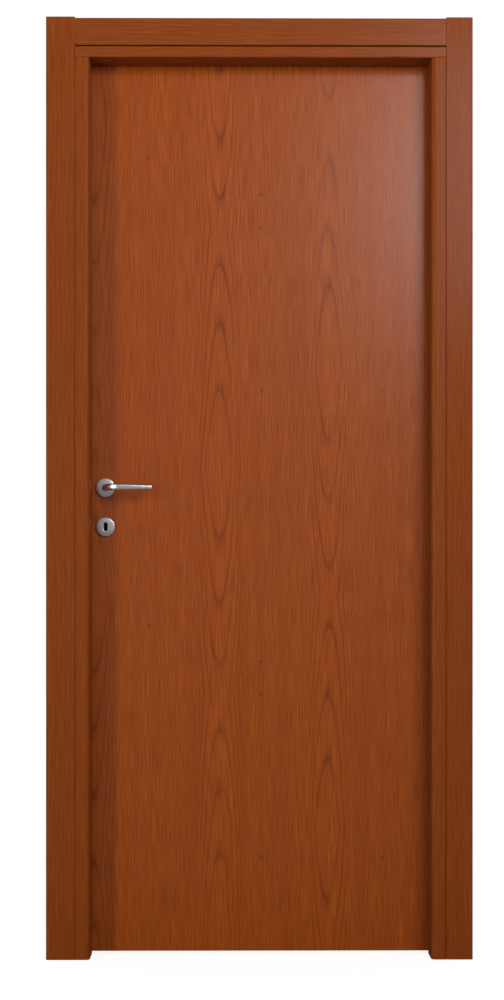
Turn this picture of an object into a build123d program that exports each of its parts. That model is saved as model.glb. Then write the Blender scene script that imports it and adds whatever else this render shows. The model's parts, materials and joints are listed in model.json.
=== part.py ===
from build123d import *
from math import cos, pi, sin
import os

# Interior door, shut: a flush veneered leaf in a timber frame that has casings on both faces of the wall
# X runs across the doorway from the latch side to the hinge side, Y through the wall, Z up, in millimetres
# The zero point is at the foot of the hinge jamb's wall face, midway through the wall

# Doorway between the jambs
clear_width = 796.0
clear_height = 2100.0
wall_thick = 80.0

# Section shared by the three jambs, measured outwards from the clear opening
jamb_thick = 55.0
front_face_width = 33.5
head_face_width = 25.6
back_face_width = 38.5
nose_radius = 10.0
head_nose_radius = 3.5
arris_radius = 1.0
head_arris_radius = 2.5
rebate_width = 13.0
rebate_depth = 30.0
groove_width = 6.0
groove_depth = 32.0

# Casings, held by a tongue in the jamb's groove
casing_thick = 10.0
tongue_thick = 3.5
tongue_length = 30.0
latch_casing_width = 67.3
hinge_casing_width = 62.0
head_casing_width = 64.0
back_casing_width = 60.0
latch_joint = 0.7
hinge_joint = 0.9
head_joint = 2.4
back_joint = 1.0
casing_rise = 1.7
casing_seam = 0.4
casing_round = 4.5

# Leaf, rebated along its two sides and its top
leaf_gap = 5.0
floor_gap = 5.0
leaf_thick = 44.0
lip_thick = 14.0
lip_width = 13.0
skin_thick = 3.0
leaf_round = 1.2
stile_width = 27.0
rail_width = 60.0
lock_block_width = 90.0
lock_block_height = 300.0

# Seal at the stop of the rebate
seal_width = 8.0
seal_setback = 1.5
seal_clearance = 0.3
seal_bulb = 1.6
kerf_width = 3.0
kerf_depth = 7.0

# Mortise lock
handle_height = 1102.0
key_drop = 92.5
backset = 40.0
case_thick = 15.0
case_depth = 70.0
case_above_handle = 32.0
case_below_key = 36.0
mortise_clearance = 0.5
faceplate_width = 18.0
faceplate_length = 230.0
faceplate_thick = 3.0
plate_corner = 8.0
bolt_thick = 10.0
bolt_length = 26.0
latch_bolt_height = 26.0
dead_bolt_height = 34.0
dead_bolt_rise = 24.0
bolt_clearance = 0.3
strike_width = 18.0
strike_length = 200.0
strike_thick = 2.0
strike_hole_margin = 2.0
strike_pocket_depth = 14.0

# Round furniture
rose_diameter = 44.0
rose_thick = 8.0
rose_bevel = 1.0
keyhole_width = 8.5
keyhole_height = 20.0
drilled_margin = 1.0

# Lever handle: a round bar that bends out of the rose into a flat tapering arm
lever_projection = 55.0
lever_length = 111.5
neck_diameter = 16.0
neck_corner = 7.9
neck_clearance = 0.3
bend_radius = 28.0
bend_steps = 8
arm_start_height = 15.6
arm_start_thick = 11.0
arm_start_corner = 4.5
arm_steps = 4
arm_tip_height = 11.0
arm_tip_thick = 8.0
arm_tip_corner = 3.0
arm_drop = 1.0
arm_return = 4.0
tip_bevel = 0.6
spindle_side = 8.0
spindle_grip = 26.0
spindle_hole = 20.0
follower_diameter = 20.0

# Barrel hinges, a pin half in the jamb under a knuckle half on the leaf
lower_hinge_height = 230.0
middle_hinge_height = 1060.0
upper_hinge_drop = 210.0
barrel_diameter = 14.0
barrel_length = 27.0
barrel_lip_gap = 1.5
barrel_split = 0.3
axis_behind_lip = 8.0
hinge_pin_diameter = 7.0
hinge_pin_length = 20.0
hinge_pin_play = 0.05
hinge_pin_tip_gap = 1.0
jamb_stud_diameter = 8.0
jamb_stud_grip = 30.0
leaf_stud_diameter = 6.0
leaf_stud_grip = 40.0
leaf_stud_offset = 2.5
stud_play = 0.1

# Planes of the frame
front_y = -wall_thick / 2 - casing_thick
back_y = wall_thick / 2 + casing_thick
wall_front_y = -wall_thick / 2
wall_back_y = wall_thick / 2
opening_right = -jamb_thick
opening_left = opening_right - clear_width
frame_left = opening_left - jamb_thick
stop_y = back_y - rebate_depth
front_casing_top = clear_height + head_face_width + head_joint + head_casing_width + casing_rise
back_casing_top = clear_height + back_face_width + back_joint + back_casing_width + casing_rise

# Planes of the leaf
overlap = rebate_width - leaf_gap
leaf_front_y = stop_y + leaf_gap
leaf_back_y = leaf_front_y + leaf_thick
leaf_left = opening_left - overlap
leaf_right = opening_right + overlap
leaf_top = clear_height + overlap
lip_left = leaf_left - lip_width
lip_right = leaf_right + lip_width
lip_top = leaf_top + lip_width
skin_front_y = leaf_front_y + skin_thick
skin_back_y = leaf_back_y - skin_thick
lip_inner_y = leaf_back_y - lip_thick

# Places of the lock and the handle
handle_x = leaf_left + backset
key_height = handle_height - key_drop
lock_y = (leaf_front_y + lip_inner_y) / 2
case_bottom = key_height - case_below_key
case_top = handle_height + case_above_handle
faceplate_middle = (case_bottom + case_top) / 2
dead_bolt_z = key_height + dead_bolt_rise
strike_x = opening_left - rebate_width

# Places of the hinges
hinge_x = lip_right + barrel_lip_gap + barrel_diameter / 2
hinge_y = lip_inner_y + axis_behind_lip
leaf_stud_y = hinge_y - leaf_stud_offset
hinge_heights = {
    "lower": lower_hinge_height,
    "middle": middle_hinge_height,
    "upper": clear_height - upper_hinge_drop,
}


def block(x, y, z):
    """Box between the two ends of each range."""
    corner = Pos(min(x), min(y), min(z))
    size = [max(ends) - min(ends) for ends in (x, y, z)]
    return corner * Box(*size, align=(Align.MIN, Align.MIN, Align.MIN))


def section(points, rounds):
    """Flat outline through the points, with a round of its own radius at each named corner."""
    face = make_face(Polyline(*points, close=True))
    for corner, radius in rounds:
        vertex = face.vertices().sort_by_distance(Vector(*corner, 0))[0]
        face = fillet(vertex, radius)
    return face


def upright(side, edge_x, points, rounds, bottom, top):
    """Section standing from bottom to top; its first coordinate runs from edge_x to the given side."""
    placed = [(edge_x + side * u, y) for u, y in points]
    placed_rounds = [((edge_x + side * u, y), radius) for (u, y), radius in rounds]
    return Pos(0, 0, bottom) * extrude(section(placed, placed_rounds), top - bottom, dir=(0, 0, 1))


def lying(edge_z, points, rounds, left, right):
    """Section lying from left to right; its first coordinate runs upwards from edge_z."""
    plane = Plane(origin=(right, 0, edge_z), x_dir=(0, 0, 1), z_dir=(-1, 0, 0))
    return extrude(plane * section(points, rounds), right - left, dir=(-1, 0, 0))


def jamb_outline(face_width, nose, arris, rebated):
    """Outline of a jamb: nose, front groove, wall face, back groove, and the rebate where it runs through."""
    front_web = face_width + groove_width
    back_web = back_face_width + groove_width
    points = [
        (0, front_y),
        (face_width, front_y),
        (face_width, wall_front_y + groove_depth),
        (front_web, wall_front_y + groove_depth),
        (front_web, wall_front_y),
        (jamb_thick, wall_front_y),
        (jamb_thick, wall_back_y),
        (back_web, wall_back_y),
        (back_web, wall_back_y - groove_depth),
        (back_face_width, wall_back_y - groove_depth),
        (back_face_width, back_y),
    ]
    if rebated:
        points += [(rebate_width, back_y), (rebate_width, stop_y), (0, stop_y)]
    else:
        points += [(0, back_y)]
    rounds = [
        ((0, front_y), nose),
        ((face_width, front_y), arris),
        ((back_face_width, back_y), arris_radius),
    ]
    return points, rounds


def seal_kerf(side):
    """Kerf that holds the seal's barb, cut into the stop of a side jamb."""
    middle = opening_right if side > 0 else opening_left
    inner = middle + side * (seal_setback + (seal_width - kerf_width) / 2)
    return block((inner, inner + side * kerf_width), (stop_y - kerf_depth, stop_y), (0, clear_height))


def side_jamb(side):
    """Jamb beside the doorway, from the floor to the underside of the head."""
    points, rounds = jamb_outline(front_face_width, nose_radius, arris_radius, True)
    edge_x = opening_right if side > 0 else opening_left
    return upright(side, edge_x, points, rounds, 0, clear_height) - seal_kerf(side)


def hinge_jamb():
    body = side_jamb(1)
    for height in hinge_heights.values():
        body -= stud_hole(height)
    return body


def latch_jamb():
    body = side_jamb(-1) - edge_plate(strike_x - strike_thick, strike_width, strike_length, strike_thick)
    for middle, height in bolts():
        body -= bolt_space(middle, height, strike_x - strike_pocket_depth, strike_x, strike_hole_margin)
    return body


def head_jamb():
    """Head laid over both side jambs; its rebate stops at the rebates of the sides."""
    points, rounds = jamb_outline(head_face_width, head_nose_radius, head_arris_radius, False)
    body = lying(clear_height, points, rounds, frame_left, 0)
    rebate_x = (opening_left - rebate_width, opening_right + rebate_width)
    body -= block(rebate_x, (stop_y, back_y), (clear_height, clear_height + rebate_width))
    kerf_z = clear_height + seal_setback + (seal_width - kerf_width) / 2
    body -= block(rebate_x, (stop_y - kerf_depth, stop_y), (kerf_z, kerf_z + kerf_width))
    above = (clear_height, clear_height + jamb_thick)
    front_web = (front_face_width, (front_y, wall_front_y))
    back_web = (back_face_width, (wall_back_y, back_y))
    for face_width, y in (front_web, back_web):
        body -= block((frame_left, opening_left - face_width), y, above)
        body -= block((opening_right + face_width, 0), y, above)
    return body


def casing_outline(inner, width, arris, face_y, inward):
    """Flat board with a rounded outer arris; inward is the way from its face into the wall."""
    back = face_y + inward * casing_thick
    points = [(inner, face_y), (inner + width, face_y), (inner + width, back), (inner, back)]
    rounds = [((inner, face_y), arris), ((inner + width, face_y), casing_round)]
    return points, rounds


def side_casing(side, inner, width, top, face_y, inward):
    """Casing at one side of the doorway, from the floor to a little above the head casing."""
    edge_x = opening_right if side > 0 else opening_left
    points, rounds = casing_outline(inner, width, arris_radius, face_y, inward)
    board = upright(side, edge_x, points, rounds, 0, top)
    back = face_y + inward * casing_thick
    tongue_x = (edge_x + side * inner, edge_x + side * (inner + tongue_thick))
    return board + block(tongue_x, (back, back + inward * tongue_length), (0, clear_height))


def head_casing(face_widths, joints, width, face_y, inward):
    """Casing over the doorway, between the two side casings of its face of the wall."""
    side_width, over_width = face_widths
    left = opening_left - side_width - joints[0] + casing_seam
    right = opening_right + side_width + joints[2] - casing_seam
    inner = over_width + joints[1]
    points, rounds = casing_outline(inner, width, head_arris_radius, face_y, inward)
    board = lying(clear_height, points, rounds, left, right)
    back = face_y + inward * casing_thick
    tongue_z = (clear_height + inner, clear_height + inner + tongue_thick)
    return board + block((left, right), (back, back + inward * tongue_length), tongue_z)


def seal_outline():
    """Barbed strip: a stem in the kerf and a rounded cushion that stops just short of the leaf."""
    cushion_y = leaf_front_y - seal_clearance
    stem = seal_setback + (seal_width - kerf_width) / 2
    points = [
        (seal_setback, stop_y),
        (seal_setback, cushion_y),
        (seal_setback + seal_width, cushion_y),
        (seal_setback + seal_width, stop_y),
        (stem + kerf_width, stop_y),
        (stem + kerf_width, stop_y - kerf_depth),
        (stem, stop_y - kerf_depth),
        (stem, stop_y),
    ]
    rounds = [
        ((seal_setback, cushion_y), seal_bulb),
        ((seal_setback + seal_width, cushion_y), seal_bulb),
    ]
    return points, rounds


def side_seal(side):
    points, rounds = seal_outline()
    edge_x = opening_right if side > 0 else opening_left
    return upright(side, edge_x, points, rounds, 0, clear_height)


def head_seal():
    """Strip over the doorway, between the side jambs' rebates."""
    points, rounds = seal_outline()
    return lying(clear_height, points, rounds, opening_left, opening_right)


def edge_plate(left, width, length, thick):
    """Plate with rounded corners that stands on edge beside the lock, with its face to the latch side."""
    plane = Plane(origin=(left, lock_y, faceplate_middle), x_dir=(0, 1, 0), z_dir=(1, 0, 0))
    return extrude(plane * RectangleRounded(width, length, plate_corner), thick)


def bolts():
    """Middle height and height of the latch bolt and the dead bolt."""
    return ((handle_height, latch_bolt_height), (dead_bolt_z, dead_bolt_height))


def bolt_space(middle, height, left, right, margin):
    """Block of a bolt's section with a margin all round."""
    half_y = bolt_thick / 2 + margin
    half_z = height / 2 + margin
    return block((left, right), (lock_y - half_y, lock_y + half_y), (middle - half_z, middle + half_z))


def strike_plate():
    plate = edge_plate(strike_x - strike_thick, strike_width, strike_length, strike_thick)
    for middle, height in bolts():
        plate -= bolt_space(middle, height, strike_x - strike_thick, strike_x, strike_hole_margin)
    return plate


def keyhole(width, height, y0, y1):
    """Slot with round ends through the leaf, from y0 to y1."""
    plane = Plane(origin=(handle_x, y0, key_height), x_dir=(0, 0, 1), z_dir=(0, 1, 0))
    return extrude(plane * SlotOverall(height, width), y1 - y0, dir=(0, 1, 0))


def along_y(x, z, diameter, y0, y1):
    """Round bar or hole through the leaf."""
    plane = Plane(origin=(x, y0, z), x_dir=(1, 0, 0), z_dir=(0, 1, 0))
    return extrude(plane * Circle(diameter / 2), y1 - y0)


def leaf_holes(y0, y1):
    """Drilled hole for the spindle and slot for the key."""
    slot_width = keyhole_width + 2 * drilled_margin
    slot_height = keyhole_height + 2 * drilled_margin
    spindle = along_y(handle_x, handle_height, spindle_hole, y0, y1)
    return spindle + keyhole(slot_width, slot_height, y0, y1)


def front_skin():
    """Face of the leaf towards the doorway."""
    skin = block((leaf_left, leaf_right), (leaf_front_y, skin_front_y), (floor_gap, leaf_top))
    front_edges = skin.edges().group_by(Axis.Y)[0]
    return fillet(front_edges, leaf_round) - leaf_holes(leaf_front_y, skin_front_y)


def back_skin():
    """Face of the leaf on the hinge side, as wide as the lip."""
    skin = block((lip_left, lip_right), (skin_back_y, leaf_back_y), (floor_gap, lip_top))
    back_edges = skin.edges().group_by(Axis.Y)[-1]
    return fillet(back_edges, leaf_round) - leaf_holes(skin_back_y, leaf_back_y)


def lipped(inner_x, lip_x, inner_z, lip_z):
    """Bar of the leaf's edge frame: the part inside the rebate and the lip behind it."""
    inner = block(inner_x, (skin_front_y, lip_inner_y), inner_z)
    return inner + block(lip_x, (lip_inner_y, skin_back_y), lip_z)


def mortise():
    """Pocket for the lock case, open at the leaf's edge."""
    half_y = case_thick / 2 + mortise_clearance
    pocket_x = (leaf_left, leaf_left + faceplate_thick + case_depth + mortise_clearance)
    pocket_z = (case_bottom - mortise_clearance, case_top + mortise_clearance)
    return block(pocket_x, (lock_y - half_y, lock_y + half_y), pocket_z)


def faceplate_space():
    """Faceplate of the lock, let flush into the leaf's edge."""
    return edge_plate(leaf_left, faceplate_width, faceplate_length, faceplate_thick)


def latch_stile():
    inner = leaf_left + stile_width
    stile = lipped((leaf_left, inner), (lip_left, inner), (floor_gap, leaf_top), (floor_gap, lip_top))
    stile -= mortise()
    return stile - faceplate_space()


def hinge_stile():
    inner = leaf_right - stile_width
    stile = lipped((inner, leaf_right), (inner, lip_right), (floor_gap, leaf_top), (floor_gap, lip_top))
    for height in hinge_heights.values():
        stile -= leaf_stud(height, leaf_stud_diameter + 2 * stud_play)
    return stile


def top_rail():
    span = (leaf_left + stile_width, leaf_right - stile_width)
    bottom = leaf_top - rail_width
    return lipped(span, span, (bottom, leaf_top), (bottom, lip_top))


def bottom_rail():
    span = (leaf_left + stile_width, leaf_right - stile_width)
    return block(span, (skin_front_y, skin_back_y), (floor_gap, floor_gap + rail_width))


def lock_block_space():
    left = leaf_left + stile_width
    half = lock_block_height / 2
    z = (faceplate_middle - half, faceplate_middle + half)
    return block((left, left + lock_block_width), (skin_front_y, skin_back_y), z)


def lock_block():
    return lock_block_space() - mortise() - leaf_holes(skin_front_y, skin_back_y)


def core():
    """Filling of the leaf, from stile to stile and from rail to rail."""
    span = (leaf_left + stile_width, leaf_right - stile_width)
    z = (floor_gap + rail_width, leaf_top - rail_width)
    return block(span, (skin_front_y, skin_back_y), z) - lock_block_space()


def lock_case():
    left = leaf_left + faceplate_thick
    y = (lock_y - case_thick / 2, lock_y + case_thick / 2)
    case = block((left, left + case_depth), y, (case_bottom, case_top))
    for middle, height in bolts():
        case -= bolt_space(middle, height, left, leaf_left + bolt_length, bolt_clearance)
    case -= along_y(handle_x, handle_height, follower_diameter + 2 * neck_clearance, *y)
    return case - keyhole(keyhole_width, keyhole_height, *y)


def lock_faceplate():
    plate = faceplate_space()
    for middle, height in bolts():
        plate -= bolt_space(middle, height, leaf_left, leaf_left + faceplate_thick, bolt_clearance)
    return plate


def bolt(middle, height):
    """Bolt drawn back until its end is flush with the faceplate."""
    return bolt_space(middle, height, leaf_left, leaf_left + bolt_length, 0)


def furniture_disc(face_y, outward, height):
    """Round plate on a face of the leaf, with a bevelled rim."""
    plane = Plane(origin=(handle_x, face_y, height), x_dir=(1, 0, 0), z_dir=(0, outward, 0))
    disc = extrude(plane * Circle(rose_diameter / 2), rose_thick)
    rim = disc.edges().group_by(Axis.Y)[-1 if outward > 0 else 0]
    return chamfer(rim, rose_bevel)


def rose(face_y, outward):
    """Rose round the lever's neck."""
    disc = furniture_disc(face_y, outward, handle_height)
    ends = sorted((face_y, face_y + outward * rose_thick))
    return disc - along_y(handle_x, handle_height, neck_diameter + 2 * neck_clearance, *ends)


def escutcheon(face_y, outward):
    """Key escutcheon: the disc, with a slot for the key."""
    disc = furniture_disc(face_y, outward, key_height)
    ends = sorted((face_y, face_y + outward * rose_thick))
    return disc - keyhole(keyhole_width, keyhole_height, *ends)


def blend(start, end, share):
    """Values part of the way from the start's to the end's."""
    return [a + (b - a) * share for a, b in zip(start, end)]


def lever_section(centre, turn, outward, size):
    """Rounded section square to the lever's line, which has turned from the wall's normal towards the arm."""
    along = Vector(sin(turn), outward * cos(turn), 0)
    across = Vector(cos(turn), -outward * sin(turn), 0)
    thick, height, corner = size
    return Plane(origin=centre, x_dir=across, z_dir=along) * RectangleRounded(thick, height, corner)


def lever(face_y, outward):
    """Round neck, a quarter bend that flattens it, and an arm that tapers and leans back to its square tip."""
    neck = (neck_diameter, neck_diameter, neck_corner)
    arm_start = (arm_start_thick, arm_start_height, arm_start_corner)
    arm_tip = (arm_tip_thick, arm_tip_height, arm_tip_corner)
    neck_start = face_y + outward * neck_clearance
    arm_y = face_y + outward * (lever_projection - arm_start_thick / 2)
    bend_y = arm_y - outward * bend_radius
    sections = [lever_section((handle_x, neck_start, handle_height), 0, outward, neck)]
    for step in range(bend_steps + 1):
        turn = pi / 2 * step / bend_steps
        x = handle_x + bend_radius * (1 - cos(turn))
        y = bend_y + outward * bend_radius * sin(turn)
        size = blend(neck, arm_start, step / bend_steps)
        sections.append(lever_section((x, y, handle_height), turn, outward, size))
    bend_end = (handle_x + bend_radius, arm_y, handle_height)
    tip_end = (handle_x + lever_length, arm_y, handle_height - arm_drop)
    for step in range(1, arm_steps + 1):
        share = step / arm_steps
        x, y, z = blend(bend_end, tip_end, share)
        y -= outward * arm_return * share ** 2
        sections.append(lever_section((x, y, z), pi / 2, outward, blend(arm_start, arm_tip, share)))
    body = loft(sections, ruled=True)
    body = chamfer(body.edges().group_by(Axis.X)[-1], tip_bevel)
    return body - spindle_bar(*sorted((neck_start, face_y + outward * spindle_grip)))


def spindle_bar(y0, y1):
    half = spindle_side / 2
    z = (handle_height - half, handle_height + half)
    return block((handle_x - half, handle_x + half), (y0, y1), z)


def spindle():
    """Square bar from one lever's neck to the other's."""
    return spindle_bar(leaf_front_y - spindle_grip, leaf_back_y + spindle_grip)


def follower():
    """Hub of the lock, turned by the spindle."""
    y = (lock_y - case_thick / 2, lock_y + case_thick / 2)
    return along_y(handle_x, handle_height, follower_diameter, *y) - spindle_bar(*y)


def stud_hole(height):
    """Hole in the hinge jamb's back face for the stud of a pin half."""
    middle = height - barrel_length / 2
    diameter = jamb_stud_diameter + 2 * stud_play
    return along_y(hinge_x, middle, diameter, back_y - jamb_stud_grip, back_y)


def leaf_stud(height, diameter):
    """Stud of a knuckle half, or its hole, running into the lip of the leaf."""
    middle = height + barrel_length / 2
    length = leaf_stud_grip + hinge_x - lip_right
    plane = Plane(origin=(lip_right - leaf_stud_grip, leaf_stud_y, middle), x_dir=(0, 1, 0), z_dir=(1, 0, 0))
    return extrude(plane * Circle(diameter / 2), length)


def upright_pin(radius, bottom, length):
    """Round bar on the hinges' axis, standing on its lower end."""
    stand = (Align.CENTER, Align.CENTER, Align.MIN)
    return Pos(hinge_x, hinge_y, bottom) * Cylinder(radius, length, align=stand)


def frame_hinge(height):
    """Pin half: lower barrel, the pin that stands out of it and the stud in the jamb."""
    body = upright_pin(barrel_diameter / 2, height - barrel_length, barrel_length)
    body += along_y(hinge_x, height - barrel_length / 2, jamb_stud_diameter, back_y - jamb_stud_grip, hinge_y)
    return body + upright_pin(hinge_pin_diameter / 2, height, hinge_pin_length)


def leaf_hinge(height):
    """Knuckle half: upper barrel over the pin, and the stud in the leaf."""
    body = upright_pin(barrel_diameter / 2, height + barrel_split, barrel_length)
    body += leaf_stud(height, leaf_stud_diameter)
    bore = upright_pin(hinge_pin_diameter / 2 + hinge_pin_play, height, hinge_pin_length + hinge_pin_tip_gap)
    return body - bore


front_faces = (front_face_width, head_face_width)
back_faces = (back_face_width, back_face_width)
front_joints = (latch_joint, head_joint, hinge_joint)
back_joints = (back_joint, back_joint, back_joint)
front_latch = (front_face_width + latch_joint, latch_casing_width, front_casing_top, front_y, 1)
front_hinge = (front_face_width + hinge_joint, hinge_casing_width, front_casing_top, front_y, 1)
back_side = (back_face_width + back_joint, back_casing_width, back_casing_top, back_y, -1)

parts = {
    "hinge_jamb": hinge_jamb(),
    "latch_jamb": latch_jamb(),
    "head_jamb": head_jamb(),
    "front_latch_casing": side_casing(-1, *front_latch),
    "front_hinge_casing": side_casing(1, *front_hinge),
    "front_head_casing": head_casing(front_faces, front_joints, head_casing_width, front_y, 1),
    "back_latch_casing": side_casing(-1, *back_side),
    "back_hinge_casing": side_casing(1, *back_side),
    "back_head_casing": head_casing(back_faces, back_joints, back_casing_width, back_y, -1),
    "latch_seal": side_seal(-1),
    "hinge_seal": side_seal(1),
    "head_seal": head_seal(),
    "strike_plate": strike_plate(),
    "front_skin": front_skin(),
    "back_skin": back_skin(),
    "latch_stile": latch_stile(),
    "hinge_stile": hinge_stile(),
    "top_rail": top_rail(),
    "bottom_rail": bottom_rail(),
    "core": core(),
    "lock_block": lock_block(),
    "lock_case": lock_case(),
    "lock_faceplate": lock_faceplate(),
    "latch_bolt": bolt(handle_height, latch_bolt_height),
    "dead_bolt": bolt(dead_bolt_z, dead_bolt_height),
    "front_rose": rose(leaf_front_y, -1),
    "back_rose": rose(leaf_back_y, 1),
    "front_escutcheon": escutcheon(leaf_front_y, -1),
    "back_escutcheon": escutcheon(leaf_back_y, 1),
    "front_lever": lever(leaf_front_y, -1),
    "back_lever": lever(leaf_back_y, 1),
    "spindle": spindle(),
    "follower": follower(),
}
for place, height in hinge_heights.items():
    parts[f"{place}_frame_hinge"] = frame_hinge(height)
    parts[f"{place}_leaf_hinge"] = leaf_hinge(height)

os.makedirs("parts", exist_ok=True)
for name, shape in parts.items():
    export_step(shape, f"parts/{name}.step")
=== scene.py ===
import bpy
import bmesh
import json
import numpy as np
from math import cos, pi, radians, sin
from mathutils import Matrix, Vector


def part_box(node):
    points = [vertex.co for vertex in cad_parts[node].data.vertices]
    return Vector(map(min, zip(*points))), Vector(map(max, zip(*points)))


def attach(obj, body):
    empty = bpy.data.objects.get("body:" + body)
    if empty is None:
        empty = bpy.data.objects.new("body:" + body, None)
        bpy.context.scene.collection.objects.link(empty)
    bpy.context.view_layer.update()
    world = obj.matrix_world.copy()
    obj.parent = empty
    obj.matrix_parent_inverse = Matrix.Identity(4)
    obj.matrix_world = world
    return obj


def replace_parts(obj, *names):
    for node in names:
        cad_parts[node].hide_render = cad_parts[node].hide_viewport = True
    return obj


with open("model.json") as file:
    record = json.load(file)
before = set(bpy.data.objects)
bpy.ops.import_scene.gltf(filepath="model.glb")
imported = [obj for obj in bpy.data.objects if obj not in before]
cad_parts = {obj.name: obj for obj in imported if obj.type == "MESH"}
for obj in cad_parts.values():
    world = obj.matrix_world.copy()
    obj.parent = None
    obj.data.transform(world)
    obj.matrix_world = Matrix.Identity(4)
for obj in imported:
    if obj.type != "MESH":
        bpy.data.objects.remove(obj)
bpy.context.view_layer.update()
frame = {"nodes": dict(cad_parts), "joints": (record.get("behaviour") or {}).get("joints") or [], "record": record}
print("stage: frame loaded,", len(frame["nodes"]), "nodes")

# Places taken from the frame, in metres
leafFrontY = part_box("front_skin")[0].y
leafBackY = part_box("back_skin")[1].y
turnAxis = next(joint for joint in frame["joints"] if joint["name"] == "handle_turn")["pos_m"]
handleX = turnAxis[0]
handleZ = turnAxis[2]
keyLow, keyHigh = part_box("front_escutcheon")
keyZ = (keyLow.z + keyHigh.z) / 2


# Colours and nodes

def linear(hexColour):
    # sRGB hex to linear: c/12.92 below the toe, ((c + 0.055)/1.055)^2.4 above it
    values = [int(hexColour[i:i + 2], 16) / 255 for i in (1, 3, 5)]
    return tuple(v / 12.92 if v <= 0.04045 else ((v + 0.055) / 1.055) ** 2.4 for v in values) + (1.0,)


def addNode(tree, kind, inputs=None, **settings):
    # adds one node, sets its properties, then fills each named input with a value or links a socket to it
    node = tree.nodes.new(kind)
    for name, value in settings.items():
        setattr(node, name, value)
    for name, value in (inputs or {}).items():
        if isinstance(value, bpy.types.NodeSocket):
            tree.links.new(value, node.inputs[name])
        else:
            node.inputs[name].default_value = value
    return node


def emptyMaterial(name):
    # a new material and its node tree, with nothing in it yet
    material = bpy.data.materials.new(name)
    material.use_nodes = True
    material.node_tree.nodes.clear()
    return material, material.node_tree


def setRamp(node, stops):
    # stops are (place, value or colour) pairs in rising order
    ramp = node.color_ramp
    while len(ramp.elements) < len(stops):
        ramp.elements.new(0.5)
    for element, (place, value) in zip(ramp.elements, stops):
        element.position = place
        element.color = linear(value) if isinstance(value, str) else (value, value, value, 1.0)


# Cherry laminate: printed paper under a satin melamine film, pressed with a fine upright pore
# It gives thin darker lines on a warm red brown, and a soft sheen that whitens where a lamp is mirrored
cherry = {
    "pale": "#A7561A",
    "mid": "#95490E",
    "dark": "#7E380A",
    "line": "#5E2506",
    "redBand": "#903F0E",
    "repeatWide": 0.5535,  # one sheet of the print, in metres
    "repeatHigh": 1.107,
    "wander": (1 / 9, 1 / 2.2),  # size of one bend of the grain, across and along, in metres
    "wanderReach": 0.022,
    "stripe": (0.0021, 0.085),  # real pores are too fine to show, so this is the narrowest that does
    "leafSpread": 0.165,  # a smaller spread gives stronger stripes
    "frameSpread": 0.23,
    "band": (1 / 45, 1 / 1.1),
    "redFrom": (0.35, 0.68),  # where in the bands' noise the red comes in, and its share at both ends
    "redShare": (0.15, 0.60),
    "figures": ((-0.5502, 0.6040), (-0.2918, 0.8440)),  # x and z of the saddle of each row of arches
    "arch": 0.005,  # an arch runs by x^2 / arch from its tip, and straight on from archWidth
    "archWidth": 0.060,
    "ringLength": 0.150,  # from one arch to the next
    "ringsAcross": 14.0,  # straight lines in the same length, on the frame
    "ringWander": 0.7,
    "ringProfile": ((0.0, 1.0), (0.05, 0.5), (0.25, 0.0), (0.90, 0.1), (1.0, 1.0)),
    "leafLines": 1.2,
    "frameLines": 0.6,
    "figureEnd": 0.50,  # how far from its saddle a row of arches has faded out, and over what length
    "figureFade": 0.08,
    "marks": (  # x, z, half width and half height of each small dark mark
        (-0.1638, 1.3304, 0.0050, 0.0065),
        (-0.4530, 0.6900, 0.0080, 0.0050),
        (-0.4530, 0.6120, 0.0085, 0.0045),
        (-0.4510, 0.2260, 0.0060, 0.0090),
    ),
    "markDepth": 0.65,
    "poreStrength": 0.35,
    "poreDepth": 0.0004,
    "dullFrom": (0.2, 0.8),  # where in the stripes' noise the roughness changes, and by how much at both ends
    "dullStep": (-0.05, 0.07),
}


def fromCentre(tree, across, along, x, z):
    # offsets from the nearest copy of a point: copies lie repeatWide apart, each half of repeatHigh lower
    wide = cherry["repeatWide"]
    half = cherry["repeatHigh"] / 2
    cell = addNode(tree, "ShaderNodeMath", {0: across, 1: x}, operation="SUBTRACT").outputs[0]
    cell = addNode(tree, "ShaderNodeMath", {0: cell, 1: 1 / wide, 2: 0.5},
                   operation="MULTIPLY_ADD").outputs[0]
    cell = addNode(tree, "ShaderNodeMath", {0: cell}, operation="FLOOR").outputs[0]
    dx = addNode(tree, "ShaderNodeMath", {0: cell, 1: -wide, 2: across}, operation="MULTIPLY_ADD").outputs[0]
    dx = addNode(tree, "ShaderNodeMath", {0: dx, 1: x}, operation="SUBTRACT").outputs[0]
    dz = addNode(tree, "ShaderNodeMath", {0: cell, 1: half, 2: along}, operation="MULTIPLY_ADD").outputs[0]
    dz = addNode(tree, "ShaderNodeMath", {0: dz, 1: z}, operation="SUBTRACT").outputs[0]
    dz = addNode(tree, "ShaderNodeMath", {0: dz, 1: half, 2: -half}, operation="WRAP").outputs[0]
    return dx, dz


def markShade(tree, across, along, x, z, halfWide, halfHigh):
    # 1 at the middle of a mark, falling as 1 - (dx/halfWide)^2 - (dz/halfHigh)^2 to 0 at its rim
    dx, dz = fromCentre(tree, across, along, x, z)
    dx = addNode(tree, "ShaderNodeMath", {0: dx, 1: 1 / halfWide}, operation="MULTIPLY").outputs[0]
    dz = addNode(tree, "ShaderNodeMath", {0: dz, 1: 1 / halfHigh}, operation="MULTIPLY").outputs[0]
    dx = addNode(tree, "ShaderNodeMath", {0: dx, 1: dx}, operation="MULTIPLY").outputs[0]
    reach = addNode(tree, "ShaderNodeMath", {0: dz, 1: dz, 2: dx}, operation="MULTIPLY_ADD").outputs[0]
    return addNode(tree, "ShaderNodeMath", {0: 1.0, 1: reach}, operation="SUBTRACT",
                   use_clamp=True).outputs[0]


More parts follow.
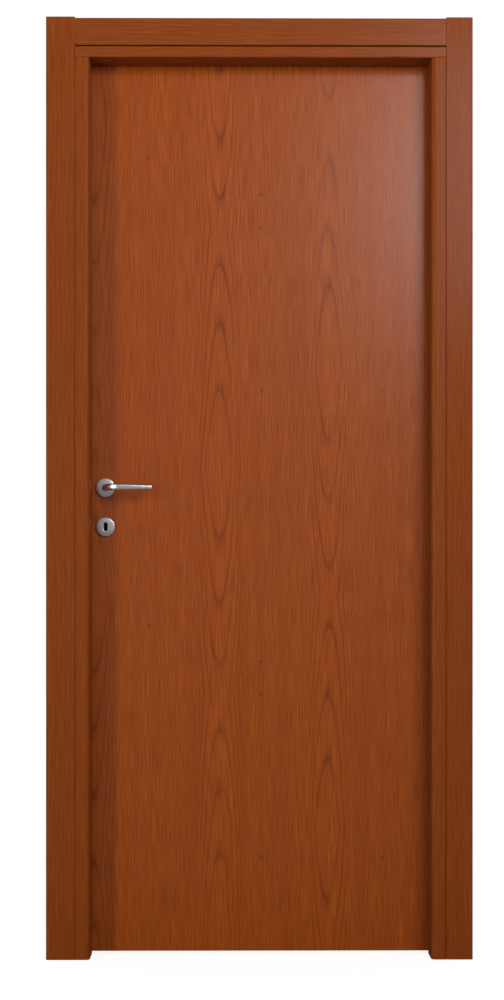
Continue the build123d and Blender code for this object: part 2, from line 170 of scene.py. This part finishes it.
def archPhase(tree, across, along, centre, saddle):
    # phase = huber(dx)/arch - |dz|, so its level lines are arches whose tips point at the saddle
    # huber(dx) = near (2 |dx| - near), where near is the lesser of |dx| and archWidth
    dx, dz = fromCentre(tree, across, along, centre, saddle)
    dx = addNode(tree, "ShaderNodeMath", {0: dx}, operation="ABSOLUTE").outputs[0]
    near = addNode(tree, "ShaderNodeMath", {0: dx, 1: cherry["archWidth"]}, operation="MINIMUM").outputs[0]
    reach = addNode(tree, "ShaderNodeMath", {0: dx, 1: 2.0}, operation="MULTIPLY").outputs[0]
    reach = addNode(tree, "ShaderNodeMath", {0: reach, 1: near}, operation="SUBTRACT").outputs[0]
    huber = addNode(tree, "ShaderNodeMath", {0: near, 1: reach}, operation="MULTIPLY").outputs[0]
    level = addNode(tree, "ShaderNodeMath", {0: huber, 1: 1 / cherry["arch"]},
                    operation="MULTIPLY").outputs[0]
    dz = addNode(tree, "ShaderNodeMath", {0: dz}, operation="ABSOLUTE").outputs[0]
    return addNode(tree, "ShaderNodeMath", {0: level, 1: dz}, operation="SUBTRACT").outputs[0]


def grainNoise(tree, across, along, size, detail, roughness=0.5):
    # noise in the plane of the print, whose cells are size[0] across the grain and size[1] along it
    place = addNode(tree, "ShaderNodeCombineXYZ", {"X": across, "Z": along}).outputs[0]
    scale = (1 / size[0], 1.0, 1 / size[1])
    place = addNode(tree, "ShaderNodeMapping", {"Vector": place, "Scale": scale}).outputs[0]
    return addNode(tree, "ShaderNodeTexNoise", {"Vector": place, "Scale": 1.0, "Detail": detail,
                                                "Roughness": roughness}).outputs["Fac"]


def cherryLaminate(name, tint, gloss, dull, level=False, figured=False, shift=0.0):
    # upright or level grain read from Object coordinates, shifted to its own stretch of the print;
    # on plain pieces x + y is the way across, so their sides carry the print round
    # colour = stripes, redder by the bands, darker by the ring lines and marks, all times the tint, which holds
    # painted sheen and shade
    material, tree = emptyMaterial(name)
    place = addNode(tree, "ShaderNodeTexCoord").outputs["Object"]
    turn = (0.0, radians(90) if level else 0.0, 0.0)
    place = addNode(tree, "ShaderNodeMapping", {"Vector": place, "Rotation": turn}).outputs[0]
    axes = addNode(tree, "ShaderNodeSeparateXYZ", {0: place}).outputs
    along = axes["Z"]
    if figured:
        across = axes["X"]
    else:
        across = addNode(tree, "ShaderNodeMath", {0: axes["X"], 1: axes["Y"]}, operation="ADD").outputs[0]
    across = addNode(tree, "ShaderNodeMath", {0: across, 1: shift}, operation="ADD").outputs[0]

    # slow wander of the grain, a few millimetres sideways over half a metre
    wander = grainNoise(tree, across, along, cherry["wander"], 2.0)
    wander = addNode(tree, "ShaderNodeMath", {0: wander, 1: 0.5}, operation="SUBTRACT").outputs[0]
    bent = addNode(tree, "ShaderNodeMath", {0: wander, 1: cherry["wanderReach"], 2: across},
                   operation="MULTIPLY_ADD").outputs[0]

    # fine stripes, each running for some centimetres
    stripes = grainNoise(tree, bent, along, cherry["stripe"], 3.0, 0.6)
    tone = addNode(tree, "ShaderNodeValToRGB", {"Fac": stripes})
    spread = cherry["leafSpread"] if figured else cherry["frameSpread"]
    setRamp(tone, ((0.5 - spread, cherry["dark"]), (0.5, cherry["mid"]), (0.5 + spread, cherry["pale"])))

    # broad bands, about two centimetres wide, that turn redder
    bands = grainNoise(tree, bent, along, cherry["band"], 2.0)
    low, high = cherry["redFrom"]
    least, most = cherry["redShare"]
    redness = addNode(tree, "ShaderNodeMapRange", {"Value": bands, 1: low, 2: high, 3: least, 4: most})
    colour = addNode(tree, "ShaderNodeMix", {0: redness.outputs[0], 6: tone.outputs[0],
                                             7: linear(cherry["redBand"])}, data_type="RGBA").outputs[2]

    # ring lines: nested arches on the leaf, straight lines on the frame
    if figured:
        phases = [archPhase(tree, bent, along, *figure) for figure in cherry["figures"]]
        phase = addNode(tree, "ShaderNodeMath", {0: phases[0], 1: phases[1]}, operation="MINIMUM").outputs[0]
    else:
        phase = addNode(tree, "ShaderNodeMath", {0: bent, 1: cherry["ringsAcross"]},
                        operation="MULTIPLY").outputs[0]
    rings = addNode(tree, "ShaderNodeMath", {0: phase, 1: 1 / cherry["ringLength"]},
                    operation="MULTIPLY").outputs[0]
    rings = addNode(tree, "ShaderNodeMath", {0: rings, 1: 0.5}, operation="ADD").outputs[0]
    rings = addNode(tree, "ShaderNodeMath", {0: wander, 1: cherry["ringWander"], 2: rings},
                    operation="MULTIPLY_ADD").outputs[0]
    rings = addNode(tree, "ShaderNodeMath", {0: rings}, operation="FRACT").outputs[0]
    late = addNode(tree, "ShaderNodeValToRGB", {"Fac": rings})
    setRamp(late, cherry["ringProfile"])
    share = addNode(tree, "ShaderNodeMath", {0: late.outputs[0], 1: bands}, operation="MULTIPLY").outputs[0]
    if figured:
        # the lines fade out before the arches of two copies of the print meet, so none closes into an eye
        end = -cherry["figureEnd"]
        kept = addNode(tree, "ShaderNodeMapRange", {"Value": phase, 1: end, 2: end + cherry["figureFade"]})
        share = addNode(tree, "ShaderNodeMath", {0: share, 1: kept.outputs[0]},
                        operation="MULTIPLY").outputs[0]
    strong = cherry["leafLines"] if figured else cherry["frameLines"]
    share = addNode(tree, "ShaderNodeMath", {0: share, 1: strong}, operation="MULTIPLY",
                    use_clamp=True).outputs[0]
    colour = addNode(tree, "ShaderNodeMix", {0: share, 6: colour, 7: linear(cherry["line"])},
                     data_type="RGBA").outputs[2]

    if figured:
        for mark in cherry["marks"]:
            amount = markShade(tree, bent, along, *mark)
            amount = addNode(tree, "ShaderNodeMath", {0: amount, 1: cherry["markDepth"]},
                             operation="MULTIPLY").outputs[0]
            colour = addNode(tree, "ShaderNodeMix", {0: amount, 6: colour, 7: linear(cherry["line"])},
                             data_type="RGBA").outputs[2]
    # times the tint, whose level and blue share are painted sheen and shade set to how the piece is lit
    colour = addNode(tree, "ShaderNodeMix", {0: 1.0, 6: colour, 7: (*tint, 1.0)}, data_type="RGBA",
                     blend_type="MULTIPLY").outputs[2]

    # the pressed pores: relief from the stripes, which also break up the sheen
    pores = addNode(tree, "ShaderNodeBump", {"Height": stripes, "Strength": cherry["poreStrength"],
                                             "Distance": cherry["poreDepth"]})
    low, high = cherry["dullFrom"]
    smoother, rougher = cherry["dullStep"]
    shine = addNode(tree, "ShaderNodeMapRange", {"Value": stripes, 1: low, 2: high, 3: dull + smoother,
                                                 4: dull + rougher})
    surface = addNode(tree, "ShaderNodeBsdfPrincipled", {"Base Color": colour, "Roughness": shine.outputs[0],
                                                         "IOR": 1.5, "Specular IOR Level": gloss,
                                                         "Normal": pores.outputs[0]})
    addNode(tree, "ShaderNodeOutputMaterial", {"Surface": surface.outputs[0]})
    return material


# Satin nickel: plated brass, brushed then lacquered, so it is a pale neutral grey with a wide soft glint
nickel = {"colour": "#E6E5E6", "shade": "#DCDBDC", "roughness": 0.29, "brush": 0.0006, "relief": 0.03,
          "stretch": (0.04, 1.0, 1.0)}
# Nickel-plated steel: pressed strip, greyer than the furniture, with the marks of rolling along it
platedSteel = {"colour": "#C4C4C2", "shade": "#A9A9A7", "roughness": 0.28, "brush": 0.0012, "relief": 0.15,
               "stretch": (1.0, 1.0, 0.05)}
# Tumbler steel: oiled spring strip, coloured near black as painted shade for the dark inside of the lock
bluedSteel = {"colour": "#2F3135", "shade": "#232427", "roughness": 0.45, "brush": 0.0008, "relief": 0.10,
              "stretch": (1.0, 1.0, 0.1)}
# Their scratches: where in the noise tone and roughness change, how much the roughness does, and their depth
scratches = {"toneFrom": (0.35, 0.65), "dullFrom": (0.3, 0.7), "dullStep": (-0.02, 0.03), "depth": 0.0001}


def brushedMetal(name, finish):
    # fine scratches by a noise whose cells are brush wide, drawn out along the axis with the small stretch;
    # they show in colour, roughness and relief
    material, tree = emptyMaterial(name)
    place = addNode(tree, "ShaderNodeTexCoord").outputs["Object"]
    scale = tuple(share / finish["brush"] for share in finish["stretch"])
    place = addNode(tree, "ShaderNodeMapping", {"Vector": place, "Scale": scale}).outputs[0]
    scratch = addNode(tree, "ShaderNodeTexNoise", {"Vector": place, "Scale": 1.0,
                                                   "Detail": 3.0}).outputs["Fac"]
    tone = addNode(tree, "ShaderNodeValToRGB", {"Fac": scratch})
    setRamp(tone, tuple(zip(scratches["toneFrom"], (finish["shade"], finish["colour"]))))
    low, high = scratches["dullFrom"]
    smoother, rougher = (finish["roughness"] + step for step in scratches["dullStep"])
    dull = addNode(tree, "ShaderNodeMapRange", {"Value": scratch, 1: low, 2: high, 3: smoother, 4: rougher})
    relief = addNode(tree, "ShaderNodeBump", {"Height": scratch, "Strength": finish["relief"],
                                              "Distance": scratches["depth"]})
    surface = addNode(tree, "ShaderNodeBsdfPrincipled", {"Base Color": tone.outputs[0], "Metallic": 1.0,
                                                         "Roughness": dull.outputs[0],
                                                         "Normal": relief.outputs[0]})
    addNode(tree, "ShaderNodeOutputMaterial", {"Surface": surface.outputs[0]})
    return material


# Chipboard: chips of wood pressed with glue and left raw, so it is mottled and has no sheen
board = {"chip": "#B28F63", "gap": "#8C6A42", "chipSize": 0.004, "toneFrom": (0.1, 0.8), "roughness": 0.85,
         "relief": 0.4, "depth": 0.0005}


def rawBoard(name):
    # cells of chipSize, each of its own shade; the relief's height is the distance from a cell's middle
    material, tree = emptyMaterial(name)
    place = addNode(tree, "ShaderNodeTexCoord").outputs["Object"]
    chips = addNode(tree, "ShaderNodeTexVoronoi", {"Vector": place, "Scale": 1 / board["chipSize"]})
    tone = addNode(tree, "ShaderNodeValToRGB", {"Fac": chips.outputs["Color"]})
    setRamp(tone, tuple(zip(board["toneFrom"], (board["gap"], board["chip"]))))
    relief = addNode(tree, "ShaderNodeBump", {"Height": chips.outputs["Distance"],
                                              "Strength": board["relief"], "Distance": board["depth"]})
    surface = addNode(tree, "ShaderNodeBsdfPrincipled", {"Base Color": tone.outputs[0],
                                                         "Roughness": board["roughness"],
                                                         "Normal": relief.outputs[0]})
    addNode(tree, "ShaderNodeOutputMaterial", {"Surface": surface.outputs[0]})
    return material


# Rubber strip: extruded and dark brown, with a dull skin that keeps some talc
rubber = {"colour": "#2E1A12", "talc": "#3D2A20", "talcSize": 1 / 220, "toneFrom": (0.3, 0.9),
          "roughness": 0.6, "dullStep": (-0.1, 0.15)}


def extrudedRubber(name):
    # noise of talcSize, which both pales and dulls the skin
    material, tree = emptyMaterial(name)
    place = addNode(tree, "ShaderNodeTexCoord").outputs["Object"]
    dust = addNode(tree, "ShaderNodeTexNoise", {"Vector": place, "Scale": 1 / rubber["talcSize"],
                                                "Detail": 2.0}).outputs["Fac"]
    smoother, rougher = (rubber["roughness"] + step for step in rubber["dullStep"])
    dull = addNode(tree, "ShaderNodeMapRange", {"Value": dust, 3: smoother, 4: rougher})
    tone = addNode(tree, "ShaderNodeValToRGB", {"Fac": dust})
    setRamp(tone, tuple(zip(rubber["toneFrom"], (rubber["colour"], rubber["talc"]))))
    surface = addNode(tree, "ShaderNodeBsdfPrincipled", {"Base Color": tone.outputs[0],
                                                         "Roughness": dull.outputs[0]})
    addNode(tree, "ShaderNodeOutputMaterial", {"Surface": surface.outputs[0]})
    return material


# The laminate on each kind of piece: its tint, specular level and roughness, and its stretch of the print
# A tint is painted light: the raised blue on the frame pieces is painted sheen standing in for the grey haze of
# mirrored light, the cut blue on the leaf offsets the haze that the surround adds, and each piece's level was set
# to how brightly it is lit
laminates = {
    "leaf_veneer": {"name": "cherryLaminateLeaf", "tint": (1.05, 0.94, 0.36), "gloss": 0.29, "dull": 0.27,
                    "figured": True},
    "leaf_edging": {"name": "cherryEdging", "tint": (0.90, 0.90, 0.95), "gloss": 0.20, "dull": 0.30,
                    "shift": 0.37},
    "jamb_veneer": {"name": "cherryLaminateJamb", "tint": (0.76, 0.76, 1.20), "gloss": 0.08, "dull": 0.33,
                    "shift": 1.13},
    "casing_veneer": {"name": "cherryLaminateCasing", "tint": (0.75, 0.77, 1.60), "gloss": 0.065,
                      "dull": 0.21, "shift": 2.41},
    "head_veneer": {"name": "cherryLaminateHead", "tint": (0.77, 0.80, 1.60), "gloss": 0.12, "dull": 0.24,
                    "level": True, "shift": 0.83},
}
finishes = {slotName: cherryLaminate(**look) for slotName, look in laminates.items()}
finishes["core_board"] = rawBoard("chipboard")
finishes["satin_nickel"] = brushedMetal("satinNickel", nickel)
finishes["plated_steel"] = brushedMetal("nickelPlatedSteel", platedSteel)
finishes["seal_rubber"] = extrudedRubber("rubberStrip")
# the tumbler's near-black finish, painted shade inside the lock
shadeDarkSkin = brushedMetal("bluedSteel", bluedSteel)
for subpart in frame["record"]["subparts"]:
    node = frame["nodes"][subpart["node"]]
    node.data.materials.clear()
    node.data.materials.append(finishes[subpart["material_slot"]])
print("stage: finishes made")


# Meshes

# points nearer to each other than this, in metres, become one
weldDistance = 1e-6


def gridMesh(name, points, body, slotName, finish=None):
    # points is a rows x around x 3 array: each row is one ring, joined to the next by quads, and a ring
    # drawn to a point closes an end
    rows, around = points.shape[:2]
    index = np.arange(rows * around).reshape(rows, around)
    beside = np.roll(index, -1, axis=1)
    quads = np.stack([index[:-1], beside[:-1], beside[1:], index[1:]], axis=-1)
    mesh = bpy.data.meshes.new(name)
    mesh.from_pydata(points.reshape(-1, 3).tolist(), [], quads.reshape(-1, 4).tolist())
    work = bmesh.new()
    work.from_mesh(mesh)
    bmesh.ops.remove_doubles(work, verts=work.verts, dist=weldDistance)
    bmesh.ops.recalc_face_normals(work, faces=work.faces)
    work.to_mesh(mesh)
    work.free()
    mesh.shade_smooth()
    piece = bpy.data.objects.new(name, mesh)
    bpy.context.scene.collection.objects.link(piece)
    piece.data.materials.append(finish or finishes[slotName])
    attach(piece, body)
    return piece


# Lever: a bar carried along its line, from the neck through a quarter bend to the tip
lever = {
    "neckWide": 0.016,
    "projection": 0.055,
    "length": 0.1115,
    "bend": 0.036,
    "armThick": 0.011,
    "armHigh": 0.0156,
    "tipThick": 0.008,
    "tipHigh": 0.0110,
    "drop": 0.001,
    "lean": 0.004,
    "neckPower": 2.0,
    "armPower": 2.8,
    "tipRound": 0.0016,
    "footGap": 0.0003,
    "sidewise": 64,
    "neckRings": 8,
    "bendRings": 28,
    "armRings": 26,
    "tipRings": 7,
}


def leverPiece(name, faceY, outward):
    # section: superellipse |a|^p + |b|^p = 1; its half sizes and power go from the neck's to the arm's over
    # the bend, by 3 t^2 - 2 t^3, and its half sizes then go evenly to the tip's
    # line: straight out, a quarter circle of radius bend, then an arm that leans back by lean times t^2 and
    # drops by drop times t; the end closes as a quarter round
    armY = lever["projection"] - lever["armThick"] / 2
    bendY = armY - lever["bend"]
    foot = lever["footGap"]
    straight = np.linspace(0.0, 1.0, lever["neckRings"])[:-1]
    curve = np.linspace(0.0, 1.0, lever["bendRings"])
    arm = np.linspace(0.0, 1.0, lever["armRings"])[1:]
    turn = np.concatenate([straight * 0, curve * pi / 2, arm * 0 + pi / 2])
    lineX = np.concatenate([straight * 0, lever["bend"] * (1 - np.cos(curve * pi / 2)),
                            lever["bend"] + arm * (lever["length"] - lever["tipRound"] - lever["bend"])])
    lineY = np.concatenate([foot + straight * (bendY - foot), bendY + lever["bend"] * np.sin(curve * pi / 2),
                            armY - lever["lean"] * arm ** 2])
    lineZ = np.concatenate([straight * 0, curve * 0, -arm * lever["drop"]])
    blend = np.concatenate([straight * 0, curve ** 2 * (3 - 2 * curve), arm * 0 + 1])
    taper = np.concatenate([straight * 0, curve * 0, arm])
    halfThick = (lever["neckWide"] + (lever["armThick"] - lever["neckWide"]) * blend
                 + (lever["tipThick"] - lever["armThick"]) * taper) / 2
    halfHigh = (lever["neckWide"] + (lever["armHigh"] - lever["neckWide"]) * blend
                + (lever["tipHigh"] - lever["armHigh"]) * taper) / 2
    power = lever["neckPower"] + (lever["armPower"] - lever["neckPower"]) * blend

    # quarter round at the tip: every ring is drawn in by tipRound, then to a point
    close = np.linspace(0.0, 1.0, lever["tipRings"])[1:] * pi / 2
    inset = lever["tipRound"] * (1 - np.cos(close))
    lineX = np.concatenate([lineX, lineX[-1] + lever["tipRound"] * np.sin(close), [lever["length"]]])
    lineY = np.concatenate([lineY, close * 0 + lineY[-1], [lineY[-1]]])
    lineZ = np.concatenate([lineZ, close * 0 - lever["drop"], [-lever["drop"]]])
    turn = np.concatenate([turn, close * 0 + pi / 2, [pi / 2]])
    halfThick = np.concatenate([halfThick, halfThick[-1] - inset, [0.0]])
    halfHigh = np.concatenate([halfHigh, halfHigh[-1] - inset, [0.0]])
    power = np.concatenate([power, close * 0 + lever["armPower"], [lever["armPower"]]])

    angle = np.linspace(0, 2 * pi, lever["sidewise"], endpoint=False)[None, :]
    a = np.sign(np.cos(angle)) * np.abs(np.cos(angle)) ** (2 / power[:, None]) * halfThick[:, None]
    b = np.sign(np.sin(angle)) * np.abs(np.sin(angle)) ** (2 / power[:, None]) * halfHigh[:, None]
    x = handleX + lineX[:, None] + a * np.cos(turn)[:, None]
    y = faceY + outward * (lineY[:, None] - a * np.sin(turn)[:, None])
    z = handleZ + lineZ[:, None] + b
    return gridMesh(name, np.stack([x, y, z], axis=-1), "handle", "satin_nickel")


for side, faceY, outward in (("front", leafFrontY, -1), ("back", leafBackY, 1)):
    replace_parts(leverPiece(side + "_lever_bar", faceY, outward), side + "_lever")


# Roses and key escutcheons: turned discs, slightly domed, with a rounded rim
disc = {
    "radius": 0.0220,
    "thick": 0.008,
    "rim": 0.0012,
    "rimDrop": 0.0009,
    "crown": 0.0010,
    "bore": 0.0083,
    "slotWide": 0.0085,
    "slotHigh": 0.020,
    "slotBevel": 0.0005,
    "around": 128,
    "rimRings": 7,
    "faceRings": 13,
}


def discPiece(name, faceY, outward, middleZ, slotted):
    # rings from the foot of the wall, over the rim and the domed face, to the hole and down it to the leaf
    # rim: a quarter ellipse, rim wide and rimDrop deep
    # dome: it falls from the hole to the rim by crown times (share of the way)^2
    # hole: a circle, or a slot whose half circles stand (high - wide) / 2 above and below the middle
    angle = np.linspace(0, 2 * pi, disc["around"], endpoint=False)
    outX, outZ = np.cos(angle), np.sin(angle)
    if slotted:
        run = (disc["slotHigh"] - disc["slotWide"]) / 2
        half = disc["slotWide"] / 2
        holeX, holeZ = outX * half, outZ * half + np.sign(np.round(outZ, 9)) * run
    else:
        holeX, holeZ = outX * disc["bore"], outZ * disc["bore"]
    bend = np.linspace(0, pi / 2, disc["rimRings"])
    edge = disc["thick"] - disc["crown"]
    profile = [(disc["radius"], 0.0), (disc["radius"], edge - disc["rimDrop"])]
    profile += [(disc["radius"] - disc["rim"] * (1 - cos(t)), edge - disc["rimDrop"] * (1 - sin(t)))
                for t in bend[1:]]
    rings = [np.stack([outX * r, outX * 0 + h, outZ * r], axis=-1) for r, h in profile]
    rim = rings[-1]

    # the mouth of the hole is the hole, larger in the share of slotBevel to bore
    grow = 1 + disc["slotBevel"] / disc["bore"]
    mouth = np.stack([holeX * grow, holeX * 0 + disc["thick"], holeZ * grow], axis=-1)
    for share in np.linspace(0.0, 1.0, disc["faceRings"])[1:]:
        ring = rim + (mouth - rim) * share
        ring[:, 1] = disc["thick"] - disc["crown"] * (1 - share) ** 2
        rings.append(ring)
    rings.append(np.stack([holeX, holeX * 0 + disc["thick"] - disc["slotBevel"], holeZ], axis=-1))
    rings.append(np.stack([holeX, holeX * 0, holeZ], axis=-1))
    rings.append(rings[0])
    points = np.stack(rings)
    points[..., 1] = faceY + outward * points[..., 1]
    points[..., 0] += handleX
    points[..., 2] += middleZ
    return gridMesh(name, points, "leaf", "satin_nickel")


for side, faceY, outward in (("front", leafFrontY, -1), ("back", leafBackY, 1)):
    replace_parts(discPiece(side + "_rose_disc", faceY, outward, handleZ, False), side + "_rose")
    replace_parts(discPiece(side + "_key_disc", faceY, outward, keyZ, True), side + "_escutcheon")


# Lever tumbler of the lock: a thin steel plate that stands across the keyhole in the middle of the case; its
# near-black colour is painted shade, so the keyhole looks dark inside
tumbler = {"wide": 0.012, "high": 0.026, "thick": 0.0012, "corner": 0.002, "around": 48}


def platePiece(name, centre, plate, body, slotName, finish):
    # rounded rectangle swept along Y: each corner is a quarter circle of radius corner
    angle = np.linspace(0, 2 * pi, plate["around"], endpoint=False) + pi / plate["around"]
    cosine, sine = np.cos(angle), np.sin(angle)
    outlineX = np.sign(cosine) * (plate["wide"] / 2 - plate["corner"]) + cosine * plate["corner"]
    outlineZ = np.sign(sine) * (plate["high"] / 2 - plate["corner"]) + sine * plate["corner"]
    middle = np.array(centre)
    rings = []
    for scale, share in ((0, -0.5), (1, -0.5), (1, 0.5), (0, 0.5)):
        y = outlineX * 0 + plate["thick"] * share
        ring = np.stack([outlineX * scale, y, outlineZ * scale], axis=-1)
        rings.append(ring + middle)
    return gridMesh(name, np.stack(rings), body, slotName, finish)


lockLow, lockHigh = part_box("lock_case")
platePiece("lock_tumbler", (handleX, (lockLow.y + lockHigh.y) / 2, keyZ), tumbler, "leaf", "plated_steel",
           shadeDarkSkin)
print("stage: furniture made")


# Hinge caps: turned buttons that close both ends of each barrel
cap = {"radius": 0.0068, "rise": 0.0022, "around": 64, "rings": 12}


def capPiece(name, x, y, z, upward, body):
    # half ellipsoid on a flat base: r = radius cos t, h = rise sin t, from the base's middle to the crown
    t = np.linspace(0, pi / 2, cap["rings"])
    radius = np.concatenate([[0.0], cap["radius"] * np.cos(t)])[:, None]
    height = np.concatenate([[0.0], cap["rise"] * np.sin(t)])[:, None]
    angle = np.linspace(0, 2 * pi, cap["around"], endpoint=False)[None, :]
    points = [x + radius * np.cos(angle), y + radius * np.sin(angle), z + upward * (height + angle * 0)]
    return gridMesh(name, np.stack(points, axis=-1), body, "satin_nickel")


# Countersunk screws with a cross recess, two in the strike plate and two in the lock's faceplate
screw = {
    "radius": 0.0038,
    "rise": 0.0003,
    "floor": 0.00004,
    "arm": 0.0022,
    "slot": 0.0005,
    "inset": 0.012,
    "around": 96,
    "armRings": 14,
    "outerRings": 8,
    "armWall": 1.02,  # the wall at the end of an arm stands between arm and this many times arm
}


def screwPiece(name, faceX, outward, y, z, body):
    # low dome, rise (1 - (r/radius)^2), sunk to the recess floor where a point lies in an arm of the cross
    inner = np.linspace(0, screw["arm"], screw["armRings"])
    outer = np.linspace(screw["arm"] * screw["armWall"], screw["radius"], screw["outerRings"])
    r = np.concatenate([inner, outer])[:, None]
    angle = np.linspace(0, 2 * pi, screw["around"], endpoint=False)[None, :]
    u, v = r * np.cos(angle), r * np.sin(angle)
    height = screw["rise"] * (1 - (r / screw["radius"]) ** 2) + u * 0
    inCross = (np.minimum(np.abs(u), np.abs(v)) < screw["slot"]) & (r <= screw["arm"])
    height = np.where(inCross, screw["floor"], height)
    base = np.stack([u * 0, u, v], axis=-1)[::-1]
    top = np.stack([height, u, v], axis=-1)
    rings = np.concatenate([top, base])
    rings[..., 0] = faceX + outward * rings[..., 0]
    rings[..., 1] += y
    rings[..., 2] += z
    return gridMesh(name, rings, body, "plated_steel")


for level in ("lower", "middle", "upper"):
    low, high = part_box(level + "_leaf_hinge")
    axisX = high.x - (high.y - low.y) / 2
    axisY = (low.y + high.y) / 2
    capPiece(level + "_hinge_top_cap", axisX, axisY, high.z, 1, "leaf")
    capPiece(level + "_hinge_bottom_cap", axisX, axisY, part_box(level + "_frame_hinge")[0].z, -1, "frame")
for plate, outward, body in (("strike_plate", 1, "frame"), ("lock_faceplate", -1, "leaf")):
    low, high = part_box(plate)
    faceX = high.x if outward > 0 else low.x
    for end, z in (("lower", low.z + screw["inset"]), ("upper", high.z - screw["inset"])):
        screwPiece(plate + "_" + end + "_screw", faceX, outward, (low.y + high.y) / 2, z, body)
print("stage: small fittings made")


# Studio: pale floor, white surround, a tall strip lamp on the left and a big soft lamp high on the right
lamps = {
    "stripLamp": {"place": (-2.75, -2.35, 1.35), "target": (-0.55, 0.0, 1.15), "size": (0.40, 2.0),
                  "power": 33.0},
    "softLamp": {"place": (0.95, -3.1, 2.60), "target": (-0.40, 0.0, 1.2), "size": (1.4, 1.1), "power": 62.0},
}
ground = {
    "colour": "#8C8A88",
    "reach": 9.0,
    "glow": 0.88,  # near the door, added where the eye sees it; it rises to 1 over these metres away
    "glowFrom": (1.5, 5.0),
}
surround = {
    "fill": 0.05,  # on dull surfaces: from high up, from low down, and from behind the door
    "band": 1.30,
    "bandFrom": (0.15, 0.45),  # where low down turns to high up: z of a direction of length 1
    "rear": 0.80,
    "rearFrom": (0.0, 0.3),
    "frontDark": 0.27,  # in mirrors: the side of the camera, and what is left of that overhead and underfoot
    "frontFrom": (-0.05, 0.15),
    "steepDark": 0.12,
    "steepFrom": (0.55, 0.85),
}


def addLamp(name, place, target, size, power):
    # area lamp turned to its target: tipped by atan(rise / run) from level, heading atan(dy / dx)
    light = bpy.data.lights.new(name, "AREA")
    light.shape = "RECTANGLE"
    light.size, light.size_y = size
    light.energy = power
    holder = bpy.data.objects.new(name, light)
    bpy.context.scene.collection.objects.link(holder)
    dx, dy, dz = np.array(target) - np.array(place)
    holder.location = place
    holder.rotation_euler = (pi / 2 + np.arctan2(dz, np.hypot(dx, dy)), 0, np.arctan2(dy, dx) - pi / 2)


for lampName, settings in lamps.items():
    addLamp(lampName, **settings)

floorMesh = bpy.data.meshes.new("floor")
reach = ground["reach"]
floorMesh.from_pydata([(-reach, -reach, 0), (reach, -reach, 0), (reach, reach, 0), (-reach, reach, 0)], [],
                      [(0, 1, 2, 3)])
floor = bpy.data.objects.new("floor", floorMesh)
bpy.context.scene.collection.objects.link(floor)
floorFinish, floorTree = emptyMaterial("paperFloor")
seen = addNode(floorTree, "ShaderNodeLightPath").outputs["Is Camera Ray"]
spot = addNode(floorTree, "ShaderNodeTexCoord").outputs["Object"]
away = addNode(floorTree, "ShaderNodeVectorMath", {0: spot}, operation="LENGTH").outputs["Value"]
near, far = ground["glowFrom"]
glow = addNode(floorTree, "ShaderNodeMapRange", {"Value": away, 1: near, 2: far, 3: ground["glow"], 4: 1.0})
glow = addNode(floorTree, "ShaderNodeMath", {0: seen, 1: glow.outputs[0]}, operation="MULTIPLY").outputs[0]
matt = addNode(floorTree, "ShaderNodeBsdfDiffuse", {"Color": linear(ground["colour"])}).outputs[0]
lit = addNode(floorTree, "ShaderNodeEmission", {"Strength": glow}).outputs[0]
both = addNode(floorTree, "ShaderNodeAddShader", {0: matt, 1: lit}).outputs[0]
addNode(floorTree, "ShaderNodeOutputMaterial", {"Surface": both})
floor.data.materials.append(floorFinish)

# Surround: white to the eye
world = bpy.data.worlds.new("studioWorld")
world.use_nodes = True
bpy.context.scene.world = world
sky = world.node_tree
sky.nodes.clear()
path = addNode(sky, "ShaderNodeLightPath").outputs
way = addNode(sky, "ShaderNodeTexCoord").outputs["Generated"]
way = addNode(sky, "ShaderNodeSeparateXYZ", {0: way}).outputs

# mirrors see it white behind the door, dark on the camera's side, and darker overhead and underfoot
front, back = surround["frontFrom"]
mirrored = addNode(sky, "ShaderNodeMapRange", {"Value": way["Y"], 1: front, 2: back,
                                               3: surround["frontDark"], 4: 1.0}).outputs[0]
steep = addNode(sky, "ShaderNodeMath", {0: way["Z"]}, operation="ABSOLUTE").outputs[0]
low, high = surround["steepFrom"]
steep = addNode(sky, "ShaderNodeMapRange", {"Value": steep, 1: low, 2: high, 3: 1.0,
                                            4: surround["steepDark"]}).outputs[0]
mirrored = addNode(sky, "ShaderNodeMath", {0: mirrored, 1: steep}, operation="MULTIPLY").outputs[0]

# dull surfaces are lit from low down and a little from high up, or from behind where that is stronger
low, high = surround["bandFrom"]
soft = addNode(sky, "ShaderNodeMapRange", {"Value": way["Z"], 1: low, 2: high, 3: surround["band"],
                                           4: surround["fill"]}).outputs[0]
front, back = surround["rearFrom"]
rear = addNode(sky, "ShaderNodeMapRange", {"Value": way["Y"], 1: front, 2: back, 3: 0.0,
                                           4: surround["rear"]}).outputs[0]
soft = addNode(sky, "ShaderNodeMath", {0: soft, 1: rear}, operation="MAXIMUM").outputs[0]

strength = addNode(sky, "ShaderNodeMix", {0: path["Is Glossy Ray"], 2: soft, 3: mirrored}).outputs[0]
direct = addNode(sky, "ShaderNodeMath", {0: path["Is Camera Ray"], 1: path["Is Transmission Ray"]},
                 operation="MAXIMUM").outputs[0]
strength = addNode(sky, "ShaderNodeMix", {0: direct, 2: strength, 3: 1.0}).outputs[0]
background = addNode(sky, "ShaderNodeBackground", {"Color": linear("#FFFFFF"),
                                                   "Strength": strength}).outputs[0]
addNode(sky, "ShaderNodeOutputWorld", {"Surface": background})

# Camera: level, where the photograph's vanishing point and the depth of its reveals put it
view = {"place": (-0.5022, -4.0410, 0.8818), "yaw": -0.0062, "lens": 61.76, "shift": (0.0019, 0.0808)}
cameraData = bpy.data.cameras.new("camera")
cameraData.lens = view["lens"]
cameraData.shift_x, cameraData.shift_y = view["shift"]
camera = bpy.data.objects.new("camera", cameraData)
camera.location = view["place"]
camera.rotation_euler = (pi / 2, 0, view["yaw"])
bpy.context.scene.collection.objects.link(camera)
bpy.context.scene.camera = camera
bpy.context.scene.view_settings.view_transform = "Standard"
print("stage: studio made")
